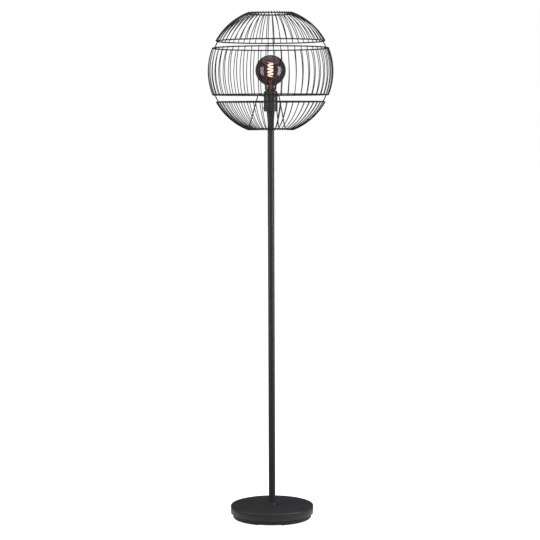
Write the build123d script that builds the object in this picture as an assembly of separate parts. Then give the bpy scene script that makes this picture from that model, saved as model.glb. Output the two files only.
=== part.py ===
from build123d import *
import math
import os

# Wire cage floor lamp: a weighted round base, a pole of three screwed tubes, a lampholder
# with a globe bulb, and a ball-shaped cage of thin wires that hangs on the lampholder.
# Millimetres. The origin is on the floor, on the pole's axis. +Z is up, and -Y is the front.

# ---------------------------------------------------------------- driving dimensions

# Base
base_radius = 132.5
cover_wall = 1.2
cover_edge_radius = 3.0
cover_skirt = 2.0          # how far the cover's rim hangs below the weight
weight_height = 21.1
weight_gap = 0.8           # between the weight and the cover's rim
weight_chamfer = 2.5
pocket_radius = 34.0       # the hollow under the weight, where the pole's nut sits
pocket_depth = 13.0
plate_inset = 7.0          # the bottom plate is this much smaller than the cover
plate_height = 15.0
plate_wall = 1.5
foot_count = 4
foot_span = 56.0           # degrees of the plate's edge that one curved pad covers
foot_width = 12.0
foot_height = 2.0
foot_inset = 1.0           # from the plate's edge to a pad's outer edge
foot_start_angle = -48.4   # of the first pad's middle, right of the gap at the front
boss_count = 3
boss_radius = 8.0
boss_inset = 42.0          # from the plate's edge to a boss's centre
boss_start_angle = 30.0
plate_screw_radius = 1.9
plate_screw_bite = 8.0     # depth of thread in the weight
plate_screw_head_radius = 3.8
plate_screw_head_height = 1.3
screw_hole_gap = 0.3
collar_flange = 4.8        # how far the foot collar stands out from the pole
collar_height = 5.8
collar_rounding = 3.4

# Cord inlet and wiring in the base
inlet_bore_radius = 3.1
grommet_wall = 0.9
grommet_flange = 0.9       # how far its lips reach past the hole in the plate
grommet_lip = 1.6
grommet_nose = 2.2
block_length = 22.0
block_width = 17.0
block_height = 8.4
block_step = 2.4           # height of the two ridges on the terminal block
block_setback = 22.0       # from the plate's wall to the block's centre
block_pitch = 10.0
block_screw_spread = 9.0
block_screw_radius = 1.7
block_screw_length = 4.0
block_well_gap = 0.3

# Lead inside the pole
lead_radius = 2.7
lead_gap = 1.1             # around the lead in every hollow thread
lead_height = 5.0          # of its centre above the plate's underside
lead_bend_radius = 12.0

# Pole
pole_radius = 10.5
pole_wall = 1.2
pole_lower_length = 427.5
pole_middle_length = 414.0
pole_upper_length = 382.0
tube_end_chamfer = 0.45    # leaves the fine groove that shows at each screwed joint
swage_length = 50.0        # the last stretch under the lampholder narrows
swage_step = 0.6
insert_length = 20.0
stud_wall = 2.6
stud_length = 14.0
nipple_wall = 1.2
bolt_reach = 20.0          # of the foot bolt up into the pole
bolt_hole_gap = 0.3
pole_nut_flats = 14.0
pole_nut_height = 5.0
pole_washer_radius = 20.0
pole_washer_height = 1.5
neck_height = 33.0
neck_flare = 1.3           # how much wider than the pole the neck ends
neck_waist_height = 8.0

# Lampholder
cup_radius = 21.7
cup_wall = 0.8
cup_height = 47.0
cup_edge_radius = 1.2
lock_nut_height = 4.0
insert_gap = 1.0           # between the holder's inside and the cup
core_lift = 0.2            # of the holder's core above the lock nut
core_height = 22.0
core_bore_depth = 18.0
nipple_reach = 15.0        # of the hollow nipple from inside the pole's end
nipple_rise = 12.0         # of the hollow nipple above the cup's floor
sleeve_radius = 19.6
sleeve_floor = 4.0
sleeve_floor_bore = 9.0
sleeve_height = 32.0
shell_wall = 0.5
shell_thread_gap = 0.45    # between the bulb's cap and the screw shell
shell_top_gap = 1.0        # the shell ends this far below the sleeve's mouth
terminal_screw_offset = 13.0
terminal_screw_radius = 1.7
terminal_screw_length = 10.0
terminal_screw_head_radius = 2.6
terminal_screw_head_height = 1.5
side_screw_height = 11.0   # above the cup's underside
side_screw_radius = 1.5
side_screw_head_radius = 2.0
side_screw_head_length = 2.8
side_screw_bite = 4.0
side_screw_slot = 0.7
tongue_width = 6.0
tongue_thickness = 0.6
tongue_length = 7.0
tongue_gap = 0.3           # below the bulb's contact

# Shade ring, which clamps the cage on the lampholder
ring_gap = 0.3             # around the lampholder's sleeve
ring_seat_gap = 0.1
ring_band_height = 7.0
ring_height = 15.8
ring_mouth_radius = 16.8
ring_lip = 2.0
ring_bore_depth = 11.0

# Cage
cage_radius = 196.0        # of the ribs' centre lines
cage_rise = 78.0           # of the cage's centre above the lampholder's rim
cage_turn = 2.7            # degrees, seen from above
rib_wire = 2.5
rim_wire = 4.0
strut_wire = 3.5
arm_wire = 3.5
ribs_per_quarter = 13
rim_radius = 71.4          # of the end rings' centre lines
hem_height = 94.5          # of the domes' edge rings
band_height = 72.5         # of the middle band's rings
rim_overrun = 2.4          # of the ribs past the end rings
hem_overrun = 1.0
strut_overrun = 1.8
weld_sink = 0.25
arm_count = 3
arm_start_angle = -51.0
arm_hump_reach = 39.5
arm_hump_rise = 6.8
arm_hump_radius = 8.0
arm_knee_inset = 5.4
arm_knee_rise = 16.0
arm_knee_radius = 30.0
fitter_radius = 23.0
fitter_height = 2.0
fitter_gap = 0.4           # around the lampholder's sleeve

# Bulb
globe_radius = 47.8
globe_rise = 90.4          # of the globe's centre above the bulb's tip
glass_wall = 0.9
neck_radius = 18.6
neck_bottom_rise = 31.0    # of the glass neck's shoulder above the tip
neck_blend_radius = 8.0
neck_shoulder_radius = 4.0
neck_shoulder_width = 2.4
cap_radius = 13.1
cap_wall = 0.4
cap_bottom_rise = 4.6
cap_top_rise = 26.0
cap_thread_pitch = 3.62
cap_thread_depth = 0.9
cap_thread_count = 5
cap_thread_start = 2.2     # of the first groove above the cap's lower edge
tip_radius = 4.8
tip_height = 1.6
stem_flare_radius = 11.4
stem_tube_radius = 4.2
stem_tube_rise = 34.0      # where the flare has narrowed to the tube
stem_pinch_rise = 52.0
stem_pinch_radius = 2.4
stem_top_rise = 59.0
filament_radius = 9.9
filament_wire = 2.6
filament_pitch = 10.5
filament_quarter_turns = 18
filament_bottom_rise = 69.2
support_wire = 0.8
support_offset = 1.2
support_bend_radius = 3.0

# ---------------------------------------------------------------- levels and shared sizes

plate_bottom = foot_height
weight_bottom = plate_bottom + plate_height
weight_top = weight_bottom + weight_height
base_top = weight_top + cover_wall
cover_bottom = weight_bottom - cover_skirt
pocket_roof = weight_bottom + pocket_depth
plate_floor = plate_bottom + plate_wall
plate_radius = base_radius - plate_inset
weight_radius = base_radius - cover_wall - weight_gap
boss_distance = plate_radius - boss_inset
inlet_z = (plate_floor + weight_bottom) / 2

wire_bore = lead_radius + lead_gap
nipple_radius = wire_bore + nipple_wall
stud_radius = wire_bore + stud_wall
tube_bore = pole_radius - pole_wall
swage_radius = pole_radius - swage_step

lead_z = plate_bottom + lead_height
bolt_bottom = lead_z + lead_bend_radius
bolt_top = base_top + bolt_reach
block_y = plate_radius - plate_wall - block_setback

lower_joint = base_top + pole_lower_length
upper_joint = lower_joint + pole_middle_length
pole_top = upper_joint + pole_upper_length
cup_bottom = pole_top + neck_height
cup_floor = cup_bottom + cup_wall
cup_top = cup_bottom + cup_height

core_bottom = cup_floor + lock_nut_height + core_lift
core_top = core_bottom + core_height
core_radius = cup_radius - cup_wall - insert_gap
sleeve_top = core_top + sleeve_height
shell_bottom = core_top + sleeve_floor
shell_bore = cap_radius + shell_thread_gap
shell_radius = shell_bore + shell_wall

fitter_bottom = cup_top + ring_seat_gap
fitter_top = fitter_bottom + fitter_height
ring_bottom = fitter_top + ring_seat_gap

# The bulb's tip rests just over the contact tongue, low in the screw shell.
bulb_tip = shell_bottom + tongue_length
globe_z = bulb_tip + globe_rise

cage_z = cup_top + cage_rise
rim_sphere = cage_radius - rib_wire / 2 - rim_wire / 2 + weld_sink
strut_sphere = rim_sphere - rim_wire / 2 - strut_wire / 2 + weld_sink
rim_height = math.sqrt(rim_sphere**2 - rim_radius**2)
front_angle = -90.0
quarter_turn = 90.0


# ---------------------------------------------------------------- helpers

def sleeve(outer, inner, bottom, top):
    """A plain round tube on the lamp's axis."""
    return Pos(0, 0, bottom) * extrude(Circle(outer) - Circle(inner), top - bottom)


def disc(radius, bottom, top):
    """A plain round bar on the lamp's axis."""
    return Pos(0, 0, bottom) * extrude(Circle(radius), top - bottom)


def turned(points):
    """A piece turned about the lamp's axis from an outline of (radius, height) points."""
    outline = Polyline(*points, close=True)
    return revolve(Plane.XZ * make_face(outline), Axis.Z)


def hex_nut(flats, bore, bottom, height):
    """A hexagonal nut on the lamp's axis, with its corners turned off."""
    corner = flats / math.sqrt(3)
    blank = Pos(0, 0, bottom) * extrude(RegularPolygon(corner, 6), height)
    round_off = (corner - flats / 2) * 0.9
    rounding = disc(corner, bottom, bottom + height)
    rounding = chamfer(rounding.edges(), round_off / 2, round_off)
    return (blank & rounding) - disc(bore, bottom, bottom + height)


def around(piece, count, start_angle, about=(0, 0)):
    """Copies of a piece spaced evenly round a vertical axis."""
    axis = Axis((about[0], about[1], 0), (0, 0, 1))
    return [piece.rotate(axis, start_angle + 360.0 * i / count) for i in range(count)]


def bent_wire(path, radius):
    """A round wire that follows a path from its start."""
    return sweep(Plane(origin=path @ 0, z_dir=path % 0) * Circle(radius), path=path)


def latitude(height, sphere):
    """The angle above the cage's middle at which a ring of that height lies."""
    return math.degrees(math.asin(height / sphere))


# ---------------------------------------------------------------- base

def make_base_cover():
    """A spun steel pan, upside down, with a rounded edge and a hole for the bolt."""
    outside = disc(base_radius, cover_bottom, base_top)
    outside = fillet(outside.edges().group_by(Axis.Z)[-1], cover_edge_radius)
    inside = disc(base_radius - cover_wall, cover_bottom, base_top - cover_wall)
    inside = fillet(inside.edges().group_by(Axis.Z)[-1], cover_edge_radius - cover_wall)
    hole = disc(nipple_radius + bolt_hole_gap, cover_bottom, base_top)
    return outside - inside - hole


def make_base_weight():
    """The cast weight, with a hollow for the pole's nut and bosses for the plate's screws."""
    body = disc(weight_radius, weight_bottom, weight_top)
    body = chamfer(body.edges().group_by(Axis.Z)[-1], weight_chamfer)
    body -= disc(pocket_radius, weight_bottom, pocket_roof)
    body -= disc(nipple_radius + bolt_hole_gap, weight_bottom, weight_top)
    boss = Pos(boss_distance, 0, plate_floor) * extrude(Circle(boss_radius), weight_bottom - plate_floor)
    body += around(boss, boss_count, boss_start_angle)
    return body - around(screw_shank(), boss_count, boss_start_angle)


def screw_shank():
    """The shank of one plate screw, at its distance out along +X."""
    length = weight_bottom + plate_screw_bite - plate_bottom
    return Pos(boss_distance, 0, plate_bottom) * extrude(Circle(plate_screw_radius), length)


def make_base_plate():
    """The shallow pressed pan that closes the base from below."""
    pan = disc(plate_radius, plate_bottom, weight_bottom)
    pan -= disc(plate_radius - plate_wall, plate_floor, weight_bottom)
    hole_radius = plate_screw_radius + screw_hole_gap
    hole = Pos(boss_distance, 0, plate_bottom) * extrude(Circle(hole_radius), plate_wall)
    pan -= around(hole, boss_count, boss_start_angle)
    inlet_hole = inlet_cylinder(inlet_bore_radius + grommet_wall, block_y, plate_radius)
    return pan - inlet_hole


def inlet_cylinder(radius, start, end):
    """A round bar along +Y on the axis of the cord inlet, between two distances."""
    return Plane(origin=(0, start, inlet_z), z_dir=(0, 1, 0)) * extrude(Circle(radius), end - start)


def make_base_plate_screws():
    """The screws that hold the bottom plate to the weight, as one group."""
    head = Pos(boss_distance, 0, plate_bottom - plate_screw_head_height) * extrude(
        Circle(plate_screw_head_radius), plate_screw_head_height
    )
    head = chamfer(head.edges().group_by(Axis.Z)[0], plate_screw_head_height / 3)
    return Compound(around(screw_shank() + head, boss_count, boss_start_angle))


def make_base_feet():
    """The curved rubber pads under the plate's edge, as one group."""
    outer = plate_radius - foot_inset
    half_width = plate_radius * math.tan(math.radians(foot_span / 2))
    wedge = Polyline((0, 0), (plate_radius, -half_width), (plate_radius, half_width), close=True)
    pad = sleeve(outer, outer - foot_width, 0, foot_height) & extrude(make_face(wedge), foot_height)
    pad = fillet(pad.edges().group_by(Axis.Z)[0], foot_height / 4)
    return Compound(around(pad, foot_count, foot_start_angle))


def make_cord_grommet():
    """The rubber grommet in the plate's rear wall, where a mains cord goes in."""
    body_radius = inlet_bore_radius + grommet_wall
    lip_radius = body_radius + grommet_flange
    wall_outside = plate_radius
    # The plate's wall is round, so the inner lip stands clear of it by the arc's height.
    arc_height = plate_radius - math.sqrt(plate_radius**2 - lip_radius**2)
    wall_inside = plate_radius - plate_wall - arc_height
    body = inlet_cylinder(body_radius, wall_inside, wall_outside)
    inner_lip = inlet_cylinder(lip_radius, wall_inside - grommet_lip, wall_inside)
    nose = inlet_cylinder(lip_radius, wall_outside, wall_outside + grommet_nose)
    nose = fillet(nose.edges().group_by(Axis.Y)[-1], grommet_nose / 2)
    bore = inlet_cylinder(inlet_bore_radius, wall_inside - grommet_lip, wall_outside + grommet_nose)
    return body + inner_lip + nose - bore


def block_places():
    """The terminal block's screw positions."""
    half_pitch = block_pitch / 2
    half_spread = block_screw_spread / 2
    return [
        (x, block_y + y) for x in (-half_pitch, half_pitch) for y in (-half_spread, half_spread)
    ]


def make_terminal_block():
    """A two-way terminal block: two ridges on a foot, with a well over each screw."""
    foot_top = plate_floor + block_height - block_step
    top = plate_floor + block_height
    foot = Pos(0, block_y, plate_floor) * extrude(
        Rectangle(block_length, block_width), foot_top - plate_floor
    )
    ridge_profile = Rectangle(block_pitch * 0.8, block_width)
    block = foot
    for x in (-block_pitch / 2, block_pitch / 2):
        ridge = Pos(x, block_y, foot_top) * extrude(ridge_profile, block_step)
        block += ridge
    well_radius = block_screw_radius + block_well_gap
    for x, y in block_places():
        block -= Pos(x, y, top - block_screw_length) * extrude(Circle(well_radius), block_screw_length)
    return block


def make_terminal_block_screws():
    """The four screws of the terminal block, each with its slot, as one group."""
    length = block_screw_length * 0.8
    bottom = plate_floor + block_height - block_screw_length
    slot = Box(block_screw_radius * 2, block_screw_radius * 0.4, length * 0.4)
    screw = extrude(Circle(block_screw_radius), length) - Pos(0, 0, length) * slot
    return Compound([Pos(x, y, bottom) * screw for x, y in block_places()])


def make_foot_washer():
    return sleeve(
        pole_washer_radius, nipple_radius + bolt_hole_gap, pocket_roof - pole_washer_height, pocket_roof
    )


def make_foot_nut():
    top = pocket_roof - pole_washer_height
    return hex_nut(pole_nut_flats, nipple_radius, top - pole_nut_height, pole_nut_height)


def make_foot_bolt():
    """The hollow threaded bolt that ties the pole to the base."""
    return sleeve(nipple_radius, wire_bore, bolt_bottom, bolt_top)


def make_foot_collar():
    """The turned ring that hides the pole's foot, rounded like a bead."""
    top = base_top + collar_height
    ring = disc(pole_radius + collar_flange, base_top, top)
    ring = fillet(ring.edges().group_by(Axis.Z)[-1], collar_rounding)
    return ring - disc(pole_radius, base_top, top)


# ---------------------------------------------------------------- pole

def pole_tube(bottom, top):
    """One screwed section of the pole, with a fine chamfer at both ends."""
    tube = sleeve(pole_radius, tube_bore, bottom, top)
    rims = tube.edges().filter_by(GeomType.CIRCLE).sort_by(SortBy.RADIUS)[-2:]
    return chamfer(rims, tube_end_chamfer)


def make_pole_upper():
    """The top section, which narrows towards the lampholder."""
    swage_start = pole_top - swage_length
    return turned(
        [
            (tube_bore, upper_joint),
            (pole_radius - tube_end_chamfer, upper_joint),
            (pole_radius, upper_joint + tube_end_chamfer),
            (pole_radius, swage_start),
            (swage_radius, pole_top),
            (swage_radius - pole_wall, pole_top),
            (tube_bore, swage_start),
        ]
    )


def joint_stud(joint):
    """The insert in a tube's upper end, with the male thread that stands out of it."""
    return sleeve(tube_bore, wire_bore, joint - insert_length, joint) + sleeve(
        stud_radius, wire_bore, joint, joint + stud_length
    )


def joint_bush(joint):
    """The insert in a tube's lower end, with the female thread."""
    return sleeve(tube_bore, stud_radius, joint, joint + insert_length)


def make_foot_bush():
    return sleeve(tube_bore, nipple_radius, base_top, base_top + insert_length)


def make_top_bush():
    """The insert in the narrowed upper end, which fits its taper."""
    top_radius = swage_radius - pole_wall
    bottom_radius = top_radius + swage_step * insert_length / swage_length
    bottom = pole_top - insert_length
    return turned(
        [
            (nipple_radius, bottom),
            (bottom_radius, bottom),
            (top_radius, pole_top),
            (nipple_radius, pole_top),
        ]
    )


def make_neck_cone():
    """The turned neck that flares from the pole's end to the lampholder."""
    top_radius = pole_radius + neck_flare
    waist_top = pole_top + neck_waist_height
    outline = [
        Line((nipple_radius, pole_top), (swage_radius, pole_top)),
        Line((swage_radius, pole_top), (swage_radius, waist_top)),
        TangentArc((swage_radius, waist_top), (top_radius, cup_bottom), tangent=(0, 1)),
        Line((top_radius, cup_bottom), (nipple_radius, cup_bottom)),
        Line((nipple_radius, cup_bottom), (nipple_radius, pole_top)),
    ]
    return revolve(Plane.XZ * make_face(outline), Axis.Z)


def make_inner_lead():
    """The lead from the terminal block, along the plate, and up the pole to the lampholder."""
    start = (0, block_y - block_width / 2, lead_z)
    turn = (0, 0, lead_z)
    end = (0, 0, core_bottom + core_bore_depth - lead_gap)
    path = FilletPolyline(start, turn, end, radius=lead_bend_radius)
    lead = bent_wire(path, lead_radius)
    expected = math.pi * lead_radius**2 * path.length
    print("inner_lead length", round(path.length, 1), "volume share", round(lead.volume / expected, 5))
    return lead


# ---------------------------------------------------------------- lampholder

def make_holder_nipple():
    return sleeve(nipple_radius, wire_bore, pole_top - nipple_reach, cup_floor + nipple_rise)


def make_holder_lock_nut():
    return hex_nut(pole_nut_flats, nipple_radius, cup_floor, lock_nut_height)


def side_screw_cylinder(radius, start, end):
    """A round bar along -X on the axis of the cup's side screw, between two distances."""
    plane = Plane(origin=(-start, 0, cup_bottom + side_screw_height), z_dir=(-1, 0, 0))
    return plane * extrude(Circle(radius), end - start)


def make_holder_cup():
    """The steel cup round the lampholder, open at the top."""
    outside = disc(cup_radius, cup_bottom, cup_top)
    outside = fillet(outside.edges().group_by(Axis.Z)[0], cup_edge_radius)
    inside = disc(cup_radius - cup_wall, cup_floor, cup_top)
    cup = outside - inside - disc(nipple_radius, cup_bottom, cup_floor)
    return cup - side_screw_cylinder(side_screw_radius + screw_hole_gap, 0, cup_radius)


def make_cup_side_screw():
    """The small slotted screw at the cup's left, which stops the lampholder turning."""
    inner = core_radius - side_screw_bite
    outer = cup_radius + side_screw_head_length
    shank = side_screw_cylinder(side_screw_radius, inner, cup_radius)
    head = side_screw_cylinder(side_screw_head_radius, cup_radius, outer)
    slot = Pos(-outer, 0, cup_bottom + side_screw_height) * Box(
        side_screw_slot * 2, side_screw_head_radius * 2, side_screw_slot
    )
    return shank + head - slot


def make_holder_core():
    """The ceramic core that carries the terminals, with a bore for the nipple and the lead."""
    core = disc(core_radius, core_bottom, core_top)
    core -= disc(nipple_radius, core_bottom, core_bottom + core_bore_depth)
    core -= terminal_screw_shanks()
    return core - side_screw_cylinder(side_screw_radius, core_radius - side_screw_bite, core_radius)


def terminal_screw_shanks():
    """The two terminal screws' shanks, at the front and the back of the core."""
    shank = Pos(0, terminal_screw_offset, core_bottom) * extrude(
        Circle(terminal_screw_radius), terminal_screw_length
    )
    return around(shank, 2, 0)


def make_terminal_screws():
    """The two screws that clamp the lead's wires under the core, as one group."""
    head = Pos(0, terminal_screw_offset, core_bottom - terminal_screw_head_height) * extrude(
        Circle(terminal_screw_head_radius), terminal_screw_head_height
    )
    heads = around(head, 2, 0)
    return Compound([shank + head for shank, head in zip(terminal_screw_shanks(), heads)])


def make_holder_sleeve():
    """The lampholder's outer sleeve. Its upper part carries the shade ring's thread."""
    body = sleeve(sleeve_radius, sleeve_floor_bore, core_top, sleeve_top)
    return body - disc(shell_radius, shell_bottom, sleeve_top)


def make_screw_shell():
    return sleeve(shell_radius, shell_bore, shell_bottom, sleeve_top - shell_top_gap)


def make_centre_contact():
    """The springy brass tongue that meets the bulb's tip."""
    tip_z = bulb_tip - tongue_gap
    half = sleeve_floor_bore * 0.7
    outline = Polyline(
        (-half, core_top),
        (half, core_top),
        (half, core_top + tongue_thickness),
        (-half + 3 * tongue_thickness, core_top + tongue_thickness),
        (half / 3, tip_z - tongue_thickness),
        (half, tip_z - 3 * tongue_thickness),
        (half, tip_z - 2 * tongue_thickness),
        (half / 3, tip_z),
        (-half, core_top + 2 * tongue_thickness),
        close=True,
    )
    return extrude(Plane.XZ * make_face(outline), tongue_width / 2, both=True)


def make_shade_ring():
    """The screwed ring over the cage's fitter, with a shoulder that closes in on the bulb."""
    band_top = ring_bottom + ring_band_height
    top = ring_bottom + ring_height
    bore = sleeve_radius + ring_gap
    bore_top = ring_bottom + ring_bore_depth
    lip_radius = ring_mouth_radius + ring_lip
    outline = [
        Line((bore, ring_bottom), (cup_radius, ring_bottom)),
        Line((cup_radius, ring_bottom), (cup_radius, band_top)),
        TangentArc((cup_radius, band_top), (lip_radius, top), tangent=(0, 1)),
        Line((lip_radius, top), (ring_mouth_radius, top)),
        Line((ring_mouth_radius, top), (ring_mouth_radius, bore_top)),
        Line((ring_mouth_radius, bore_top), (bore, bore_top)),
        Line((bore, bore_top), (bore, ring_bottom)),
    ]
    return revolve(Plane.XZ * make_face(outline), Axis.Z)


# ---------------------------------------------------------------- cage

def cage_ring(height):
    """One welded ring, at its height above or below the cage's centre."""
    radius = math.sqrt(rim_sphere**2 - height**2)
    return Pos(0, 0, cage_z + height) * Torus(radius, rim_wire / 2)


def meridian(sphere, low, high, wire):
    """One wire bent along the ball, between two heights, on the +X side."""
    upright = Plane(origin=(0, 0, cage_z), x_dir=(1, 0, 0), z_dir=(0, -1, 0))
    path = upright * CenterArc((0, 0), sphere, low, high - low)
    return bent_wire(path, wire / 2)


def ribs(low_height, high_height, low_overrun, high_overrun):
    """The thin ribs between two rings, on their outside, as one group."""
    low = latitude(low_height, rim_sphere) - math.degrees(low_overrun / cage_radius)
    high = latitude(high_height, rim_sphere) + math.degrees(high_overrun / cage_radius)
    rib = meridian(cage_radius, low, high, rib_wire)
    return Compound(around(rib, 4 * ribs_per_quarter, front_angle + cage_turn))


def struts(low_height, high_height):
    """The four short struts that bridge a gap, on the inside of its rings, as one group."""
    overrun = math.degrees(strut_overrun / strut_sphere)
    low = latitude(low_height, rim_sphere) - overrun
    high = latitude(high_height, rim_sphere) + overrun
    strut = meridian(strut_sphere, low, high, strut_wire)
    return Compound(around(strut, 4, front_angle + cage_turn))


def make_fitter():
    """The flat ring that sits on the lampholder's rim and carries the cage."""
    return sleeve(fitter_radius, sleeve_radius + fitter_gap, fitter_bottom, fitter_top)


def spider_arm(number):
    """One arm from the fitter, over a hump, and down to the bottom ring."""
    rim_z = cage_z - rim_height
    start = (fitter_radius - weld_sink, fitter_bottom + fitter_height / 2)
    hump = (arm_hump_reach, fitter_bottom + arm_hump_rise)
    knee = (rim_radius - arm_knee_inset, rim_z + arm_knee_rise)
    drop = math.hypot(arm_knee_inset, arm_knee_rise)
    butt = (rim_wire / 2 - weld_sink) / drop
    end = (rim_radius - arm_knee_inset * butt, rim_z + arm_knee_rise * butt)
    route = FilletPolyline(start, hump, knee, end, radius=[arm_hump_radius, arm_knee_radius])
    arm = bent_wire(Plane.XZ * route, arm_wire / 2)
    return arm.rotate(Axis.Z, arm_start_angle + 360.0 * number / arm_count)


# ---------------------------------------------------------------- bulb

def bulb_outline(inset):
    """Half of the glass's section: a ball that runs into a short neck with a shoulder."""
    radius = globe_radius - inset
    throat = neck_radius - inset
    shoulder_z = bulb_tip + neck_bottom_rise
    foot = cap_radius - cap_wall - inset
    cap_top = bulb_tip + cap_top_rise
    ball = Pos(0, globe_z) * Circle(radius)
    neck = make_face(
        Polyline(
            (-throat, globe_z),
            (-throat, shoulder_z),
            (-foot, cap_top),
            (foot, cap_top),
            (throat, shoulder_z),
            (throat, globe_z),
            close=True,
        )
    )
    joined = ball + neck
    blend_z = globe_z - math.sqrt(radius**2 - throat**2)
    creases = [v for v in joined.vertices() if abs(v.Y - blend_z) < inset + cap_wall]
    joined = fillet(creases, neck_blend_radius + inset)
    shoulders = [v for v in joined.vertices() if abs(v.Y - shoulder_z) < cap_wall]
    joined = fillet(shoulders, neck_shoulder_radius)
    foot_end = Pos(0, cap_top - neck_shoulder_width / 2) * Rectangle(2 * foot, neck_shoulder_width)
    half = Pos(globe_radius, globe_z) * Rectangle(2 * globe_radius, 4 * globe_radius)
    return (joined + foot_end) & half


def make_bulb_glass():
    """The smoked glass globe, open where its stem closes it."""
    section = bulb_outline(0.0) - bulb_outline(glass_wall)
    return revolve(Plane.XZ * section, Axis.Z)


def make_bulb_cap():
    """The screw cap, rolled from thin metal with rounded threads."""
    bottom = bulb_tip + cap_bottom_rise
    top = bulb_tip + cap_top_rise
    bore = cap_radius - cap_wall - cap_thread_depth
    root = cap_radius - cap_thread_depth
    outline = [Line((bore, bottom), (cap_radius, bottom))]
    level = bottom
    for turn in range(cap_thread_count):
        groove = bottom + cap_thread_start + cap_thread_pitch * turn
        half = cap_thread_pitch / 2
        outline.append(Line((cap_radius, level), (cap_radius, groove - half / 2)))
        outline.append(
            ThreePointArc((cap_radius, groove - half / 2), (root, groove), (cap_radius, groove + half / 2))
        )
        level = groove + half / 2
    seat = top - neck_shoulder_width
    outline.append(Line((cap_radius, level), (cap_radius, top)))
    outline.append(Line((cap_radius, top), (cap_radius - cap_wall, top)))
    outline.append(Line((cap_radius - cap_wall, top), (cap_radius - cap_wall, seat)))
    outline.append(Line((cap_radius - cap_wall, seat), (bore, seat)))
    outline.append(Line((bore, seat), (bore, bottom)))
    return revolve(Plane.XZ * make_face(outline), Axis.Z)


def make_cap_insulator():
    """The black glass cone between the cap and its contact."""
    bottom = bulb_tip + tip_height
    top = bulb_tip + cap_bottom_rise
    return turned(
        [
            (0, bottom),
            (tip_radius * 1.2, bottom),
            (cap_radius - cap_thread_depth, top),
            (0, top),
        ]
    )


def make_cap_contact():
    """The domed contact at the bulb's tip."""
    dome_radius = (tip_radius**2 + tip_height**2) / (2 * tip_height)
    dome = Pos(0, 0, bulb_tip + dome_radius) * Sphere(dome_radius)
    return dome & disc(tip_radius, bulb_tip, bulb_tip + tip_height)


def make_bulb_stem():
    """The clear glass stem inside the bulb, which carries the filament's wires."""
    seat = bulb_tip + cap_top_rise - neck_shoulder_width
    return turned(
        [
            (0, seat),
            (stem_flare_radius, seat),
            (stem_flare_radius, seat + glass_wall),
            (stem_tube_radius, bulb_tip + stem_tube_rise),
            (stem_tube_radius, bulb_tip + stem_pinch_rise),
            (stem_pinch_radius, bulb_tip + stem_top_rise),
            (0, bulb_tip + stem_top_rise),
        ]
    )


def helix_point(quarter):
    """A point of the filament's helix, counted in quarter turns from its lower end."""
    angle = math.radians(quarter_turn * quarter)
    height = bulb_tip + filament_bottom_rise + filament_pitch * quarter / 4
    return Vector(filament_radius * math.cos(angle), filament_radius * math.sin(angle), height)


def helix_direction(quarter):
    """The helix's unit direction at that point."""
    angle = math.radians(quarter_turn * quarter)
    climb = filament_pitch / (2 * math.pi * filament_radius)
    return Vector(-math.sin(angle), math.cos(angle), climb).normalized()


def biarc(start, start_direction, end, end_direction):
    """Two tangent arcs that join two points with the directions given there."""
    chord = end - start
    total = start_direction + end_direction
    spread = 2 * (1 - start_direction.dot(end_direction))
    along = chord.dot(total)
    reach = (math.sqrt(along**2 + spread * chord.dot(chord)) - along) / spread
    first = start + start_direction * reach
    second = end - end_direction * reach
    middle = (first + second) * 0.5
    return [
        TangentArc(start, middle, tangent=start_direction),
        TangentArc(middle, end, tangent=second - first),
    ]


def make_filament():
    """The glowing spiral, one unbroken tube of quarter-turn arcs."""
    arcs = []
    for quarter in range(filament_quarter_turns):
        arcs += biarc(
            helix_point(quarter),
            helix_direction(quarter),
            helix_point(quarter + 1),
            helix_direction(quarter + 1),
        )
    path = Wire(arcs)
    climb_angle = math.atan(filament_pitch / (2 * math.pi * filament_radius))
    least_gap = filament_pitch * math.cos(climb_angle) - filament_wire
    spiral = bent_wire(path, filament_wire / 2)
    expected = math.pi * (filament_wire / 2) ** 2 * path.length
    print("filament least gap", round(least_gap, 2), "volume share", round(spiral.volume / expected, 5))
    return spiral


def make_support_wires():
    """The two wires from the stem to the ends of the filament, as one group."""
    top = bulb_tip + stem_top_rise
    sunk = top - support_bend_radius
    lower_end = helix_point(0)
    upper_end = helix_point(filament_quarter_turns)
    pieces = []
    for end, side in ((lower_end, 1), (upper_end, -1)):
        foot = (side * support_offset, 0, sunk)
        corner = (side * support_offset, 0, end.Z)
        reach = (end.X, end.Y, end.Z)
        path = FilletPolyline(foot, corner, reach, radius=support_bend_radius)
        pieces.append(bent_wire(path, support_wire / 2))
    return Compound(pieces)


# ---------------------------------------------------------------- all pieces

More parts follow.
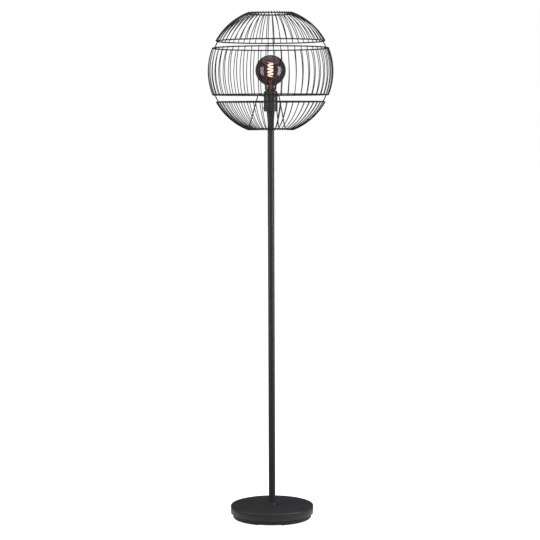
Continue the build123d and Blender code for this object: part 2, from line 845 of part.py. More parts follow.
pieces = {
    "base_cover": make_base_cover(),
    "base_weight": make_base_weight(),
    "base_plate": make_base_plate(),
    "base_plate_screws": make_base_plate_screws(),
    "base_feet": make_base_feet(),
    "cord_grommet": make_cord_grommet(),
    "terminal_block": make_terminal_block(),
    "terminal_block_screws": make_terminal_block_screws(),
    "foot_washer": make_foot_washer(),
    "foot_nut": make_foot_nut(),
    "foot_bolt": make_foot_bolt(),
    "foot_collar": make_foot_collar(),
    "foot_bush": make_foot_bush(),
    "pole_lower": pole_tube(base_top, lower_joint),
    "lower_joint_stud": joint_stud(lower_joint),
    "lower_joint_bush": joint_bush(lower_joint),
    "pole_middle": pole_tube(lower_joint, upper_joint),
    "upper_joint_stud": joint_stud(upper_joint),
    "upper_joint_bush": joint_bush(upper_joint),
    "pole_upper": make_pole_upper(),
    "top_bush": make_top_bush(),
    "neck_cone": make_neck_cone(),
    "inner_lead": make_inner_lead(),
    "holder_nipple": make_holder_nipple(),
    "holder_lock_nut": make_holder_lock_nut(),
    "holder_cup": make_holder_cup(),
    "cup_side_screw": make_cup_side_screw(),
    "holder_core": make_holder_core(),
    "terminal_screws": make_terminal_screws(),
    "holder_sleeve": make_holder_sleeve(),
    "screw_shell": make_screw_shell(),
    "centre_contact": make_centre_contact(),
    "shade_ring": make_shade_ring(),
    "fitter_ring": make_fitter(),
    "top_ring": cage_ring(rim_height),
    "upper_ribs": ribs(hem_height, rim_height, hem_overrun, rim_overrun),
    "upper_hem_ring": cage_ring(hem_height),
    "upper_struts": struts(band_height, hem_height),
    "band_top_ring": cage_ring(band_height),
    "band_ribs": ribs(-band_height, band_height, hem_overrun, hem_overrun),
    "band_bottom_ring": cage_ring(-band_height),
    "lower_struts": struts(-hem_height, -band_height),
    "lower_hem_ring": cage_ring(-hem_height),
    "lower_ribs": ribs(-rim_height, -hem_height, rim_overrun, hem_overrun),
    "bottom_ring": cage_ring(-rim_height),
    "bulb_glass": make_bulb_glass(),
    "bulb_cap": make_bulb_cap(),
    "cap_insulator": make_cap_insulator(),
    "cap_contact": make_cap_contact(),
    "bulb_stem": make_bulb_stem(),
    "filament": make_filament(),
    "support_wires": make_support_wires(),
}
for arm in range(arm_count):
    pieces[f"spider_arm_{arm + 1}"] = spider_arm(arm)

os.makedirs("parts", exist_ok=True)
for node, shape in pieces.items():
    export_step(shape, f"parts/{node}.step")
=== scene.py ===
"""Looks of the wire cage floor lamp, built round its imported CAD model."""

import logging
import math
from dataclasses import dataclass, field
from enum import Enum

import bpy
from mathutils import Matrix, Vector


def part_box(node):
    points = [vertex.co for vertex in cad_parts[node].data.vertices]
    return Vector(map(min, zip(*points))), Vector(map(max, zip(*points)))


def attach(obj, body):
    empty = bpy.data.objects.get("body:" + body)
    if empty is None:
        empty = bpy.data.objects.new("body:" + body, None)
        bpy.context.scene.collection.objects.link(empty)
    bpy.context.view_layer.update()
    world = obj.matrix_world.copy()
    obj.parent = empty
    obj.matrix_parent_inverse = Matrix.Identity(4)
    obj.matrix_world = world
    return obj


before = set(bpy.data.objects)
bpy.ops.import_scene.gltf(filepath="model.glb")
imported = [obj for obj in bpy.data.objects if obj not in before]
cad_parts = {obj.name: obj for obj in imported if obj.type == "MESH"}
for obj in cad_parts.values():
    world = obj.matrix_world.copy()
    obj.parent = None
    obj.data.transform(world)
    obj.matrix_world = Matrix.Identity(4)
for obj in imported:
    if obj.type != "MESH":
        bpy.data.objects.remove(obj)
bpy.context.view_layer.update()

log = logging.getLogger("cage_lamp")

Colour = tuple[float, float, float, float]
MILLIMETRE: float = 0.001
FULL_TURN: float = 2 * math.pi

# A Mix node's colour sockets have the same names as its others, so they go by number.
MIX_FIRST: int = 6
MIX_SECOND: int = 7
MIX_RESULT: int = 2


class Slot(str, Enum):
    """The record's material slots."""

    BLACK_COAT = "black_coat"
    WIRE_COAT = "wire_coat"
    CAST_WEIGHT = "cast_weight"
    PLATE_COAT = "plate_coat"
    BLACK_RUBBER = "black_rubber"
    PLATED_STEEL = "plated_steel"
    DARK_SCREW = "dark_screw"
    BRASS_PARTS = "brass_parts"
    HOLDER_CERAMIC = "holder_ceramic"
    HOLDER_PLASTIC = "holder_plastic"
    BLOCK_PLASTIC = "block_plastic"
    LEAD_JACKET = "lead_jacket"
    SMOKED_GLASS = "smoked_glass"
    STEM_GLASS = "stem_glass"
    CAP_METAL = "cap_metal"
    CAP_GLASS = "cap_glass"
    SOLDER = "solder"
    FILAMENT_GLOW = "filament_glow"
    NICKEL_WIRE = "nickel_wire"


class Body(str, Enum):
    """The rigid bodies that new pieces ride on."""

    SHADE = "shade"


# ------------------------------------------------------------------ node trees


class Bench:
    """Adds and joins the nodes of one node tree."""

    NOISE_LOW: float = 0.3
    NOISE_HIGH: float = 0.7

    def __init__(self, tree: bpy.types.NodeTree) -> None:
        """Takes the tree to work on.

        Args:
            tree: a material's, world's or group's node tree.
        """
        self.tree = tree

    def add(self, kind: str, inputs: dict | None = None, **settings: object) -> bpy.types.Node:
        """Adds one node.

        Args:
            kind: the node's Blender type.
            inputs: values or source sockets, by input name or number.
            settings: properties of the node.

        Returns:
            The new node.
        """
        node = self.tree.nodes.new(kind)
        for name, value in settings.items():
            setattr(node, name, value)
        for key, value in (inputs or {}).items():
            self.feed(node.inputs[key], value)
        return node

    def feed(self, socket: bpy.types.NodeSocket, value: object) -> None:
        """Gives an input its value, or joins it to the socket that supplies it.

        Args:
            socket: the input.
            value: a plain value or an output socket.
        """
        if isinstance(value, bpy.types.NodeSocket):
            self.tree.links.new(value, socket)
        else:
            socket.default_value = value

    def sums(self, operation: str, *values: object) -> bpy.types.NodeSocket:
        """One Math node.

        Args:
            operation: the node's operation.
            values: its inputs in order.

        Returns:
            Its result.
        """
        return self.add("ShaderNodeMath", dict(enumerate(values)), operation=operation).outputs[0]

    def spread(self, value: object, low: float, high: float) -> bpy.types.NodeSocket:
        """Stretches a noise's middle range over two limits.

        Args:
            value: the noise, mostly between NOISE_LOW and NOISE_HIGH.
            low: what NOISE_LOW becomes.
            high: what NOISE_HIGH becomes.

        Returns:
            The stretched value.
        """
        node = self.add(
            "ShaderNodeMapRange",
            {
                "Value": value,
                "From Min": self.NOISE_LOW,
                "From Max": self.NOISE_HIGH,
                "To Min": low,
                "To Max": high,
            },
        )
        return node.outputs[0]

    def blend(self, factor: object, first: object, second: object) -> bpy.types.NodeSocket:
        """Mixes two colours.

        Args:
            factor: none of the second colour at 0, and nothing else at 1.
            first: a colour or its socket.
            second: a colour or its socket.

        Returns:
            The mixed colour.
        """
        node = self.add(
            "ShaderNodeMix",
            {"Factor": factor, MIX_FIRST: first, MIX_SECOND: second},
            data_type="RGBA",
        )
        return node.outputs[MIX_RESULT]

    def toned(
        self, place: bpy.types.NodeSocket, colour: object, patches: float, amount: float
    ) -> bpy.types.NodeSocket:
        """Lets a colour drift over the surface.

        Args:
            place: the object coordinates.
            colour: the colour or its socket.
            patches: how fine the drift's patches are.
            amount: how far the colour drifts.

        Returns:
            The drifting colour.
        """
        group = self.add(
            "ShaderNodeGroup",
            {"Vector": place, "Colour": colour, "Patches": patches, "Amount": amount},
            node_tree=EFFECTS.tone(),
        )
        return group.outputs["Colour"]


class Effects:
    """Surface effects that several finishes share, each a node group built once."""

    TONE_DETAIL: float = 4.0
    SKIN_DETAIL: float = 2.0
    SKIN_ROUGHNESS: float = 0.4
    SWELL_SHARE: float = 0.22
    SWELL_DETAIL: float = 1.0
    SWELL_HEIGHT: float = 0.8
    RING_NOISE: float = 0.6
    RING_DETAIL: float = 2.0

    def __init__(self) -> None:
        """Starts with none built."""
        self.built: dict[str, bpy.types.NodeTree] = {}

    def begin(
        self, name: str, takes: dict[str, str], gives: dict[str, str]
    ) -> tuple[Bench, bpy.types.Node, bpy.types.Node]:
        """Starts a group with its named sockets.

        Args:
            name: the group's name.
            takes: socket types by input name.
            gives: socket types by output name.

        Returns:
            A bench for the group, its input node and its output node.
        """
        tree = bpy.data.node_groups.new(name, "ShaderNodeTree")
        for label, kind in takes.items():
            tree.interface.new_socket(name=label, in_out="INPUT", socket_type=kind)
        for label, kind in gives.items():
            tree.interface.new_socket(name=label, in_out="OUTPUT", socket_type=kind)
        self.built[name] = tree
        bench = Bench(tree)
        return bench, bench.add("NodeGroupInput"), bench.add("NodeGroupOutput")

    def tone(self) -> bpy.types.NodeTree:
        """A slow, uneven drift of a colour over the surface."""
        if "tone" in self.built:
            return self.built["tone"]
        bench, taken, given = self.begin(
            "tone",
            {
                "Vector": "NodeSocketVector",
                "Colour": "NodeSocketColor",
                "Patches": "NodeSocketFloat",
                "Amount": "NodeSocketFloat",
            },
            {"Colour": "NodeSocketColor", "Mask": "NodeSocketFloat"},
        )
        noise = bench.add(
            "ShaderNodeTexNoise",
            {
                "Vector": taken.outputs["Vector"],
                "Scale": taken.outputs["Patches"],
                "Detail": self.TONE_DETAIL,
            },
        )
        mask = bench.spread(noise.outputs[0], -1.0, 1.0)
        gain = bench.sums("MULTIPLY_ADD", mask, taken.outputs["Amount"], 1.0)
        tinted = bench.add(
            "ShaderNodeVectorMath",
            {0: taken.outputs["Colour"], "Scale": gain},
            operation="SCALE",
        )
        bench.feed(given.inputs["Colour"], tinted.outputs[0])
        bench.feed(given.inputs["Mask"], noise.outputs[0])
        return bench.tree

    def pebble(self) -> bpy.types.NodeTree:
        """The tight pebbled skin of a baked powder coat or a moulded part."""
        if "pebble" in self.built:
            return self.built["pebble"]
        bench, taken, given = self.begin(
            "pebble",
            {"Vector": "NodeSocketVector", "Grains": "NodeSocketFloat"},
            {"Height": "NodeSocketFloat", "Mask": "NodeSocketFloat"},
        )
        grains = taken.outputs["Grains"]
        skin = bench.add(
            "ShaderNodeTexNoise",
            {
                "Vector": taken.outputs["Vector"],
                "Scale": grains,
                "Detail": self.SKIN_DETAIL,
                "Roughness": self.SKIN_ROUGHNESS,
            },
        )
        swell = bench.add(
            "ShaderNodeTexNoise",
            {
                "Vector": taken.outputs["Vector"],
                "Scale": bench.sums("MULTIPLY", grains, self.SWELL_SHARE),
                "Detail": self.SWELL_DETAIL,
            },
        )
        height = bench.sums(
            "MULTIPLY_ADD", swell.outputs[0], self.SWELL_HEIGHT, skin.outputs[0]
        )
        bench.feed(given.inputs["Height"], height)
        bench.feed(given.inputs["Mask"], skin.outputs[0])
        return bench.tree

    def turning(self) -> bpy.types.NodeTree:
        """Fine tool rings round the lamp's axis, on walls and on flat ends."""
        if "turning" in self.built:
            return self.built["turning"]
        bench, taken, given = self.begin(
            "turning",
            {"Vector": "NodeSocketVector", "Rings": "NodeSocketFloat"},
            {"Height": "NodeSocketFloat", "Mask": "NodeSocketFloat"},
        )
        place = bench.add("ShaderNodeSeparateXYZ", {0: taken.outputs["Vector"]})
        across = bench.add("ShaderNodeCombineXYZ", {0: place.outputs[0], 1: place.outputs[1]})
        reach = bench.add("ShaderNodeVectorMath", {0: across.outputs[0]}, operation="LENGTH")
        walk = bench.sums("ADD", place.outputs[2], reach.outputs["Value"])
        phase = bench.sums("MULTIPLY", walk, taken.outputs["Rings"])
        wave = bench.sums("SINE", bench.sums("MULTIPLY", phase, FULL_TURN))
        line = bench.add("ShaderNodeCombineXYZ", {0: phase})
        uneven = bench.add(
            "ShaderNodeTexNoise",
            {"Vector": line.outputs[0], "Scale": self.RING_NOISE, "Detail": self.RING_DETAIL},
        )
        height = bench.sums("MULTIPLY", wave, uneven.outputs[0])
        bench.feed(given.inputs["Height"], height)
        bench.feed(given.inputs["Mask"], uneven.outputs[0])
        return bench.tree


EFFECTS = Effects()


@dataclass(frozen=True)
class Finish:
    """What every finish has: its slot's name, its colour and how rough it is."""

    slot: Slot
    colour: Colour
    roughness: float

    def open(self) -> tuple[Bench, bpy.types.Node, bpy.types.NodeSocket]:
        """Starts the material with its shader.

        Returns:
            The material's bench, its Principled shader and the object coordinates.
        """
        material = bpy.data.materials.new(self.slot.value)
        material.use_nodes = True
        material.node_tree.nodes.clear()
        material.diffuse_color = self.colour
        bench = Bench(material.node_tree)
        shader = bench.add("ShaderNodeBsdfPrincipled")
        bench.add("ShaderNodeOutputMaterial", {"Surface": shader.outputs[0]})
        shader.inputs["Base Color"].default_value = self.colour
        shader.inputs["Roughness"].default_value = self.roughness
        return bench, shader, bench.add("ShaderNodeTexCoord").outputs["Object"]

    def material(self) -> bpy.types.Material:
        """The finish as a material, made once."""
        ready = bpy.data.materials.get(self.slot.value)
        if ready and ready.get("dressed"):
            return ready
        if ready:
            ready.name = f"{self.slot.value}_plain"
        bench, shader, place = self.open()
        self.finish(bench, shader, place)
        made = bpy.data.materials[self.slot.value]
        made["dressed"] = True
        return made

    def finish(self, bench: Bench, shader: bpy.types.Node, place: bpy.types.NodeSocket) -> None:
        """Adds what this finish has beyond its colour.

        Args:
            bench: the material's bench.
            shader: its Principled shader.
            place: the object coordinates.
        """


@dataclass(frozen=True)
class Grained(Finish):
    """A coat, moulding or casting: a pebbled skin over a colour that drifts a little."""

    grains: float = 1300.0
    depth: float = 0.00002
    drift: float = 0.08
    patches: float = 9.0
    specular: float = 0.5
    unevenness: float = 0.05
    relief: float = 0.6

    def finish(self, bench: Bench, shader: bpy.types.Node, place: bpy.types.NodeSocket) -> None:
        """Adds the drift of colour and gloss, and the skin's relief.

        Args:
            bench: the material's bench.
            shader: its Principled shader.
            place: the object coordinates.
        """
        tone = bench.toned(place, self.colour, self.patches, self.drift)
        skin = bench.add(
            "ShaderNodeGroup",
            {"Vector": place, "Grains": self.grains},
            node_tree=EFFECTS.pebble(),
        )
        gloss = bench.spread(
            skin.outputs["Mask"], self.roughness - self.unevenness, self.roughness + self.unevenness
        )
        relief = bench.add(
            "ShaderNodeBump",
            {"Strength": self.relief, "Distance": self.depth, "Height": skin.outputs["Height"]},
        )
        bench.feed(shader.inputs["Base Color"], tone)
        bench.feed(shader.inputs["Roughness"], gloss)
        bench.feed(shader.inputs["Normal"], relief.outputs[0])
        shader.inputs["Specular IOR Level"].default_value = self.specular


@dataclass(frozen=True)
class TurnedMetal(Finish):
    """Bare metal with fine tool rings and a little tarnish."""

    rings: float = 2500.0
    depth: float = 0.000008
    tarnish: float = 0.12
    patches: float = 60.0
    unevenness: float = 0.2
    relief: float = 0.5

    def finish(self, bench: Bench, shader: bpy.types.Node, place: bpy.types.NodeSocket) -> None:
        """Adds the rings' relief and the tarnish.

        Args:
            bench: the material's bench.
            shader: its Principled shader.
            place: the object coordinates.
        """
        shader.inputs["Metallic"].default_value = 1.0
        tone = bench.toned(place, self.colour, self.patches, self.tarnish)
        rings = bench.add(
            "ShaderNodeGroup",
            {"Vector": place, "Rings": self.rings},
            node_tree=EFFECTS.turning(),
        )
        gloss = bench.spread(
            rings.outputs["Mask"],
            self.roughness * (1 - self.unevenness),
            self.roughness * (1 + self.unevenness),
        )
        relief = bench.add(
            "ShaderNodeBump",
            {"Strength": self.relief, "Distance": self.depth, "Height": rings.outputs["Height"]},
        )
        bench.feed(shader.inputs["Base Color"], tone)
        bench.feed(shader.inputs["Roughness"], gloss)
        bench.feed(shader.inputs["Normal"], relief.outputs[0])


@dataclass(frozen=True)
class Glass(Finish):
    """Blown glass: it darkens towards its rim, where a look crosses more of the wall. It can carry
    a painted glow, an orange emission standing in for the filament's light caught in the glass.
    """

    rim: Colour = (0.5, 0.5, 0.5, 1.0)
    index: float = 1.52
    slant: float = 0.35
    ripple: float = 0.00002
    ripples: float = 18.0
    relief: float = 0.15
    # The next two fields set the painted glow: its colour, and its strength, which is zero for no
    # glow.
    painted_glow_colour: Colour = (1.0, 0.36, 0.2, 1.0)
    lit: float = 0.0

    def finish(self, bench: Bench, shader: bpy.types.Node, place: bpy.types.NodeSocket) -> None:
        """Adds the tint of a thicker crossing, the slow ripple of a blown wall and a painted glow,
        an emission standing in for caught light.

        Args:
            bench: the material's bench.
            shader: its Principled shader.
            place: the object coordinates.
        """
        shader.inputs["Transmission Weight"].default_value = 1.0
        shader.inputs["IOR"].default_value = self.index
        # Painted glow: this emission stands in for the filament's light caught in the glass. The
        # glass is not a lamp of its own.
        shader.inputs["Emission Color"].default_value = self.painted_glow_colour
        shader.inputs["Emission Strength"].default_value = self.lit
        facing = bench.add("ShaderNodeLayerWeight", {"Blend": self.slant}).outputs["Facing"]
        wave = bench.add(
            "ShaderNodeTexNoise", {"Vector": place, "Scale": self.ripples, "Detail": 0.0}
        )
        relief = bench.add(
            "ShaderNodeBump",
            {"Strength": self.relief, "Distance": self.ripple, "Height": wave.outputs[0]},
        )
        bench.feed(shader.inputs["Base Color"], bench.blend(facing, self.colour, self.rim))
        bench.feed(shader.inputs["Normal"], relief.outputs[0])


@dataclass(frozen=True)
class Glow(Finish):
    """The lit filament: white-hot in the middle of its width, orange at its edges and ends."""

    edge: Colour = (0.22, 0.05, 0.01, 1.0)
    ember: Colour = (0.055, 0.02, 0.008, 1.0)
    slant: float = 0.8
    hot_reach: float = 0.66
    cool_reach: float = 0.96
    segments: float = 260.0
    flicker: float = 0.18
    strength: float = 20.0

    def finish(self, bench: Bench, shader: bpy.types.Node, place: bpy.types.NodeSocket) -> None:
        """Adds the light, its cooler ends and the faint segments of the coated strip.

        Args:
            bench: the material's bench.
            shader: its Principled shader.
            place: the object coordinates.
        """
        shader.inputs["Emission Strength"].default_value = self.strength
        facing = bench.add("ShaderNodeLayerWeight", {"Blend": self.slant}).outputs["Facing"]
        heat = bench.blend(facing, self.colour, self.edge)
        low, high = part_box("filament")
        height = bench.add("ShaderNodeSeparateXYZ", {0: place}).outputs[2]
        above = bench.sums("SUBTRACT", height, (low.z + high.z) / 2)
        reach = bench.sums("DIVIDE", bench.sums("ABSOLUTE", above), (high.z - low.z) / 2)
        fade = bench.add(
            "ShaderNodeMapRange",
            {"Value": reach, "From Min": self.hot_reach, "From Max": self.cool_reach},
            interpolation_type="SMOOTHSTEP",
        )
        cooled = bench.blend(fade.outputs[0], heat, self.ember)
        tone = bench.toned(place, cooled, self.segments, self.flicker)
        bench.feed(shader.inputs["Emission Color"], tone)


FINISHES: tuple[Finish, ...] = (
    Grained(Slot.BLACK_COAT, (0.024, 0.024, 0.026, 1), 0.42, specular=0.36),
    Grained(
        Slot.WIRE_COAT,
        (0.016, 0.016, 0.017, 1),
        0.55,
        grains=2200.0,
        depth=0.000012,
        specular=0.35,
    ),
    Grained(
        Slot.CAST_WEIGHT,
        (0.40, 0.39, 0.37, 1),
        0.9,
        grains=420.0,
        depth=0.0004,
        drift=0.2,
        patches=40.0,
    ),
    Grained(Slot.PLATE_COAT, (0.012, 0.012, 0.012, 1), 0.6, specular=0.3),
    Grained(Slot.BLACK_RUBBER, (0.014, 0.014, 0.014, 1), 0.8, grains=1800.0, specular=0.3),
    TurnedMetal(Slot.PLATED_STEEL, (0.62, 0.62, 0.60, 1), 0.34),
    Grained(Slot.DARK_SCREW, (0.02, 0.02, 0.02, 1), 0.45, grains=2600.0, depth=0.00001),
    TurnedMetal(Slot.BRASS_PARTS, (0.72, 0.49, 0.21, 1), 0.3),
    Grained(
        Slot.HOLDER_CERAMIC, (0.80, 0.77, 0.70, 1), 0.62, grains=900.0, depth=0.00004, drift=0.04
    ),
    Grained(Slot.HOLDER_PLASTIC, (0.016, 0.016, 0.017, 1), 0.5, grains=1500.0),
    Grained(Slot.BLOCK_PLASTIC, (0.78, 0.77, 0.72, 1), 0.5, grains=1500.0, drift=0.03),
    Grained(Slot.LEAD_JACKET, (0.02, 0.02, 0.02, 1), 0.6, grains=1500.0),
    Glass(Slot.SMOKED_GLASS, (0.225, 0.185, 0.19, 1), 0.0, rim=(0.06, 0.05, 0.054, 1)),
    # The stem's lit value is a painted glow, standing in for the filament's light caught in the
    # stem.
    Glass(Slot.STEM_GLASS, (0.93, 0.93, 0.93, 1), 0.02, rim=(0.7, 0.7, 0.7, 1), lit=0.17),
    TurnedMetal(Slot.CAP_METAL, (0.66, 0.66, 0.65, 1), 0.28, rings=1500.0),
    Grained(Slot.CAP_GLASS, (0.012, 0.012, 0.014, 1), 0.12, grains=600.0, drift=0.05),
    TurnedMetal(Slot.SOLDER, (0.55, 0.55, 0.56, 1), 0.45, rings=500.0, depth=0.00003),
    Glow(Slot.FILAMENT_GLOW, (1.0, 0.84, 0.6, 1), 0.4),
    TurnedMetal(Slot.NICKEL_WIRE, (0.5, 0.49, 0.46, 1), 0.3),
)
FINISH_OF = {finish.slot: finish for finish in FINISHES}


# ------------------------------------------------------------------ modelling


def clear_selection() -> None:
    """Deselects everything, so that an operator acts on the new piece alone."""
    bpy.ops.object.select_all(action="DESELECT")


def close_piece(name: str, body: Body, slot: Slot) -> bpy.types.Object:
    """Names the active new mesh, bakes its place into it, dresses it and lets it ride.

    Args:
        name: the piece's name.
        body: the body that it moves with.
        slot: the material slot whose finish it wears.

    Returns:
        The finished piece.
    """
    piece = bpy.context.object
    bpy.ops.object.transform_apply(location=True, rotation=True, scale=True)
    piece.name = name
    piece.data.name = name
    piece.data.materials.clear()
    piece.data.materials.append(FINISH_OF[slot].material())
    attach(piece, body.value)
    log.info("piece %s rides on %s", name, body.value)
    return piece


@dataclass
class Assembly:
    """A group of the lamp's pieces that belong together."""

    nodes: dict[Slot, tuple[str, ...]] = field(default_factory=dict)

    def dress(self) -> None:
        """Gives each CAD node of the assembly its finish."""
        for slot, names in self.nodes.items():
            material = FINISH_OF[slot].material()
            for name in names:
                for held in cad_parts[name].material_slots:
                    held.material = material
                log.info("node %s wears %s", name, slot.value)

    def build(self) -> None:
        """Models the assembly's own new pieces, where it has any."""

    def make(self) -> None:
        """Dresses the nodes, then models the new pieces."""
        self.dress()
        self.build()


@dataclass
class Base(Assembly):
    """The weighted round base, with its plate, pads, nut and terminal block."""

    nodes: dict[Slot, tuple[str, ...]] = field(
        default_factory=lambda: {
            Slot.BLACK_COAT: ("base_cover", "foot_collar"),
            Slot.CAST_WEIGHT: ("base_weight",),
            Slot.PLATE_COAT: ("base_plate",),
            Slot.BLACK_RUBBER: ("base_feet", "cord_grommet"),
            Slot.PLATED_STEEL: ("base_plate_screws", "foot_washer", "foot_nut", "foot_bolt"),
            Slot.BLOCK_PLASTIC: ("terminal_block",),
            Slot.BRASS_PARTS: ("terminal_block_screws",),
        }
    )


@dataclass
class Pole(Assembly):
    """The three screwed tubes with their inserts, the neck and the lead inside."""

    nodes: dict[Slot, tuple[str, ...]] = field(
        default_factory=lambda: {
            Slot.BLACK_COAT: ("pole_lower", "pole_middle", "pole_upper", "neck_cone"),
            Slot.PLATED_STEEL: (
                "foot_bush",
                "lower_joint_stud",
                "lower_joint_bush",
                "upper_joint_stud",
                "upper_joint_bush",
                "top_bush",
            ),
            Slot.LEAD_JACKET: ("inner_lead",),
        }
    )


@dataclass
class Lampholder(Assembly):
    """The cup, the core and the screw shell, with the ring that clamps the cage."""

    nodes: dict[Slot, tuple[str, ...]] = field(
        default_factory=lambda: {
            Slot.BLACK_COAT: ("holder_cup", "shade_ring"),
            Slot.PLATED_STEEL: ("holder_nipple", "holder_lock_nut"),
            Slot.DARK_SCREW: ("cup_side_screw",),
            Slot.HOLDER_CERAMIC: ("holder_core",),
            Slot.BRASS_PARTS: ("terminal_screws", "screw_shell", "centre_contact"),
            Slot.HOLDER_PLASTIC: ("holder_sleeve",),
        }
    )


@dataclass
class Cage(Assembly):
    """The ball of thin wires: rings, ribs, struts and arms, welded together."""

    rim_wire: float = 4.0 * MILLIMETRE
    ribs: int = 52
    first_rib: float = math.radians(-87.3)
    bead_width: float = 2.2 * MILLIMETRE
    bead_height: float = 1.9 * MILLIMETRE
    bead_depth: float = 0.8 * MILLIMETRE
    bead_segments: int = 8
    bead_rings: int = 5
    welded_rings: tuple[str, ...] = (
        "top_ring",
        "upper_hem_ring",
        "band_top_ring",
        "band_bottom_ring",
        "lower_hem_ring",
        "bottom_ring",
    )
    nodes: dict[Slot, tuple[str, ...]] = field(
        default_factory=lambda: {
            Slot.WIRE_COAT: (
                "fitter_ring",
                "spider_arm_1",
                "spider_arm_2",
                "spider_arm_3",
                "top_ring",
                "upper_ribs",
                "upper_hem_ring",
                "upper_struts",
                "band_top_ring",
                "band_ribs",
                "band_bottom_ring",
                "lower_struts",
                "lower_hem_ring",
                "lower_ribs",
                "bottom_ring",
            )
        }
    )

    def centre_height(self) -> float:
        """The height of the ball's centre, halfway between the end rings."""
        return (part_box("top_ring")[0].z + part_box("bottom_ring")[1].z) / 2

    def build(self) -> None:
        """Models the rows of weld beads where the ribs cross the rings."""
        for ring in self.welded_rings:
            self.weld(ring)

    def weld(self, ring: str) -> bpy.types.Object:
        """Models one weld bead and sets copies of it round its ring, one for each rib.

        Args:
            ring: the CAD node of the ring.

        Returns:
            The row of beads as one piece.
        """
        low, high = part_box(ring)
        middle = self.centre_height()
        reach = high.x - self.rim_wire / 2
        rise = (low.z + high.z) / 2 - middle
        wire = Vector((reach, 0, rise))
        latitude = math.atan2(rise, reach)
        point = Matrix.Rotation(self.first_rib, 3, "Z") @ (
            wire + wire.normalized() * self.rim_wire / 2
        )
        clear_selection()
        bpy.ops.mesh.primitive_uv_sphere_add(
            segments=self.bead_segments,
            ring_count=self.bead_rings,
            radius=1.0,
            location=(point.x, point.y, point.z + middle),
            rotation=(0, -latitude, self.first_rib),
            scale=(self.bead_depth, self.bead_width, self.bead_height),
        )
        bpy.ops.object.transform_apply(location=True, rotation=True, scale=True)
        bpy.ops.object.mode_set(mode="EDIT")
        bpy.ops.mesh.select_all(action="SELECT")
        bpy.ops.mesh.spin(
            steps=self.ribs - 1,
            dupli=True,
            angle=FULL_TURN * (self.ribs - 1) / self.ribs,
            center=(0, 0, 0),
            axis=(0, 0, 1),
        )
        bpy.ops.object.mode_set(mode="OBJECT")
        bpy.ops.object.shade_smooth()
        return close_piece(f"{ring}_welds", Body.SHADE, Slot.WIRE_COAT)


@dataclass
class Bulb(Assembly):
    """The smoked globe bulb: glass, stem, glowing spiral and screw cap."""

    nodes: dict[Slot, tuple[str, ...]] = field(
        default_factory=lambda: {
            Slot.SMOKED_GLASS: ("bulb_glass",),
            Slot.STEM_GLASS: ("bulb_stem",),
            Slot.CAP_METAL: ("bulb_cap",),
            Slot.CAP_GLASS: ("cap_insulator",),
            Slot.SOLDER: ("cap_contact",),
            Slot.FILAMENT_GLOW: ("filament",),
            Slot.NICKEL_WIRE: ("support_wires",),
        }
    )


# ------------------------------------------------------------------ studio


@dataclass(frozen=True)
class SoftBox:
    """A large soft lamp near the object."""

    name: str
    place: tuple[float, float, float]
    aim: tuple[float, float, float]
    width: float
    height: float
    power: float

    def hang(self) -> None:
        """Sets the lamp up."""
        lamp = bpy.data.lights.new(self.name, "AREA")
        lamp.shape = "RECTANGLE"
        lamp.size = self.width
        lamp.size_y = self.height
        lamp.energy = self.power
        holder = bpy.data.objects.new(self.name, lamp)
        holder.location = self.place
        holder.rotation_euler = (
            (Vector(self.aim) - Vector(self.place)).to_track_quat("-Z", "Y").to_euler()
        )
        bpy.context.scene.collection.objects.link(holder)


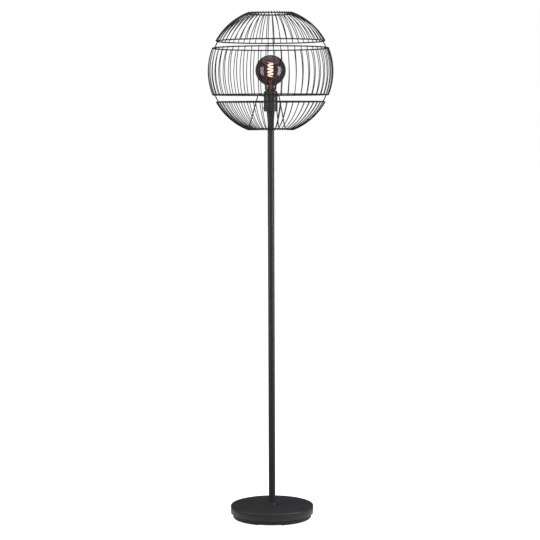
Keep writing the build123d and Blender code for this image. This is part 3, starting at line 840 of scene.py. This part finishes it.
@dataclass
class Studio:
    """A white studio with a pale floor, a dark curtain, three soft boxes and the camera."""

    boxes: tuple[SoftBox, ...] = (
        SoftBox("left_box", (-1.52, -0.55, 1.22), (0, 0, 1.22), 0.8, 1.7, 18.0),
        SoftBox("right_box", (1.52, -0.55, 1.22), (0, 0, 1.22), 0.8, 1.7, 28.0),
        SoftBox("front_box", (0.3, -2.6, 2.2), (0, 0, 1.35), 1.2, 0.9, 22.0),
    )
    white: Colour = (1.0, 1.0, 1.0, 1.0)
    ambient: float = 0.45
    floor_glow: float = 0.86
    floor_colour: Colour = (0.6, 0.6, 0.6, 1.0)
    floor_reach: float = 14.0
    curtain_sides: int = 64
    curtain_reach: float = 7.0
    curtain_height: float = 8.0
    curtain_glow: float = 0.045
    rug_bore: float = 0.2
    rug_lift: float = 0.002
    rug_glow: float = 0.012
    camera_distance: float = 5.257
    camera_height: float = 1.2822
    focal_pixels: float = 1665.2
    picture_width: float = 540.0
    sensor: float = 36.0
    pitch: float = 5.289
    yaw: float = 0.045
    roll: float = -0.2

    def background_rays(self, bench: Bench) -> bpy.types.NodeSocket:
        """Picks the rays that see the white background.

        Args:
            bench: the bench of a world or a material.

        Returns:
            One for camera, glossy and transmission rays, and zero for the rest.
        """
        path = bench.add("ShaderNodeLightPath").outputs
        seen = bench.sums("MAXIMUM", path["Is Camera Ray"], path["Is Transmission Ray"])
        return bench.sums("MAXIMUM", seen, path["Is Glossy Ray"])

    def paint_world(self) -> None:
        """Makes the world white to the eye, and a plain soft light to the object."""
        world = bpy.data.worlds.new("studio")
        bpy.context.scene.world = world
        world.use_nodes = True
        world.node_tree.nodes.clear()
        bench = Bench(world.node_tree)
        light = bench.add("ShaderNodeBackground", {"Color": self.white, "Strength": self.ambient})
        seen = bench.add("ShaderNodeBackground", {"Color": self.white, "Strength": 1.0})
        both = bench.add(
            "ShaderNodeMixShader",
            {0: self.background_rays(bench), 1: light.outputs[0], 2: seen.outputs[0]},
        )
        bench.add("ShaderNodeOutputWorld", {"Surface": both.outputs[0]})

    def lay_floor(self) -> None:
        """Lays the pale floor, which keeps a faint shadow under the base."""
        clear_selection()
        bpy.ops.mesh.primitive_plane_add(size=2 * self.floor_reach)
        floor = bpy.context.object
        floor.name = "floor"
        material = bpy.data.materials.new("pale_floor")
        material.use_nodes = True
        material.node_tree.nodes.clear()
        bench = Bench(material.node_tree)
        matt = bench.add("ShaderNodeBsdfDiffuse", {"Color": self.floor_colour})
        glow = bench.add("ShaderNodeEmission", {"Strength": self.floor_glow})
        lit = bench.add("ShaderNodeAddShader", {0: matt.outputs[0], 1: glow.outputs[0]})
        both = bench.add(
            "ShaderNodeMixShader",
            {0: self.background_rays(bench), 1: matt.outputs[0], 2: lit.outputs[0]},
        )
        bench.add("ShaderNodeOutputMaterial", {"Surface": both.outputs[0]})
        floor.data.materials.append(material)

    def draw_curtain(self) -> None:
        """Draws a dark curtain round the studio, with a dark rug, which only reflections show."""
        clear_selection()
        bpy.ops.mesh.primitive_cylinder_add(
            vertices=self.curtain_sides,
            radius=self.curtain_reach,
            depth=self.curtain_height,
            end_fill_type="NOTHING",
            location=(0, 0, self.curtain_height / 2 + self.rug_lift),
        )
        curtain = bpy.context.object
        curtain.name = "curtain"
        bpy.ops.object.transform_apply(location=True, rotation=True, scale=True)
        bpy.ops.object.mode_set(mode="EDIT")
        bpy.ops.mesh.select_mode(type="VERT")
        bpy.ops.mesh.select_all(action="DESELECT")
        bpy.ops.object.mode_set(mode="OBJECT")
        for vertex in curtain.data.vertices:
            vertex.select = vertex.co.z < self.curtain_height / 2
        bpy.ops.object.mode_set(mode="EDIT")
        bpy.ops.mesh.extrude_region_move()
        inward = self.rug_bore / self.curtain_reach
        bpy.ops.transform.resize(
            value=(inward, inward, 1), center_override=(0, 0, self.rug_lift)
        )
        bpy.ops.object.mode_set(mode="OBJECT")
        material = bpy.data.materials.new("dark_curtain")
        material.use_nodes = True
        material.node_tree.nodes.clear()
        bench = Bench(material.node_tree)
        place = bench.add("ShaderNodeTexCoord").outputs["Object"]
        height = bench.add("ShaderNodeSeparateXYZ", {0: place}).outputs[2]
        upright = bench.sums("GREATER_THAN", height, 2 * self.rug_lift)
        gain = self.curtain_glow - self.rug_glow
        dark = bench.add(
            "ShaderNodeEmission",
            {"Strength": bench.sums("MULTIPLY_ADD", upright, gain, self.rug_glow)},
        )
        bench.add("ShaderNodeOutputMaterial", {"Surface": dark.outputs[0]})
        curtain.data.materials.append(material)
        curtain.visible_camera = False
        curtain.visible_diffuse = False
        curtain.visible_transmission = False
        curtain.visible_shadow = False

    def set_camera(self) -> None:
        """Puts the camera where the photograph was taken from."""
        lens = bpy.data.cameras.new("camera")
        lens.sensor_width = self.sensor
        lens.lens = self.focal_pixels / self.picture_width * self.sensor
        camera = bpy.data.objects.new("camera", lens)
        turn = (
            Matrix.Rotation(math.radians(self.yaw), 4, "Z")
            @ Matrix.Rotation(math.radians(90 - self.pitch), 4, "X")
            @ Matrix.Rotation(math.radians(self.roll), 4, "Z")
        )
        place = Matrix.Translation((0, -self.camera_distance, self.camera_height))
        camera.matrix_world = place @ turn
        bpy.context.scene.collection.objects.link(camera)
        bpy.context.scene.camera = camera

    def make(self) -> None:
        """Sets up the light, the floor, the camera and the plain view."""
        bpy.context.scene.view_settings.view_transform = "Standard"
        self.paint_world()
        self.lay_floor()
        self.draw_curtain()
        for box in self.boxes:
            box.hang()
        self.set_camera()


def main() -> None:
    """Builds the lamp's assemblies in order, then the studio, and logs each assembly as it is done.
    """
    for assembly in (Base(), Pole(), Lampholder(), Cage(), Bulb()):
        assembly.make()
        log.info("%s done", type(assembly).__name__)
    Studio().make()


if __name__ == "__main__":
    logging.basicConfig(level=logging.INFO, format="%(message)s")
    main()
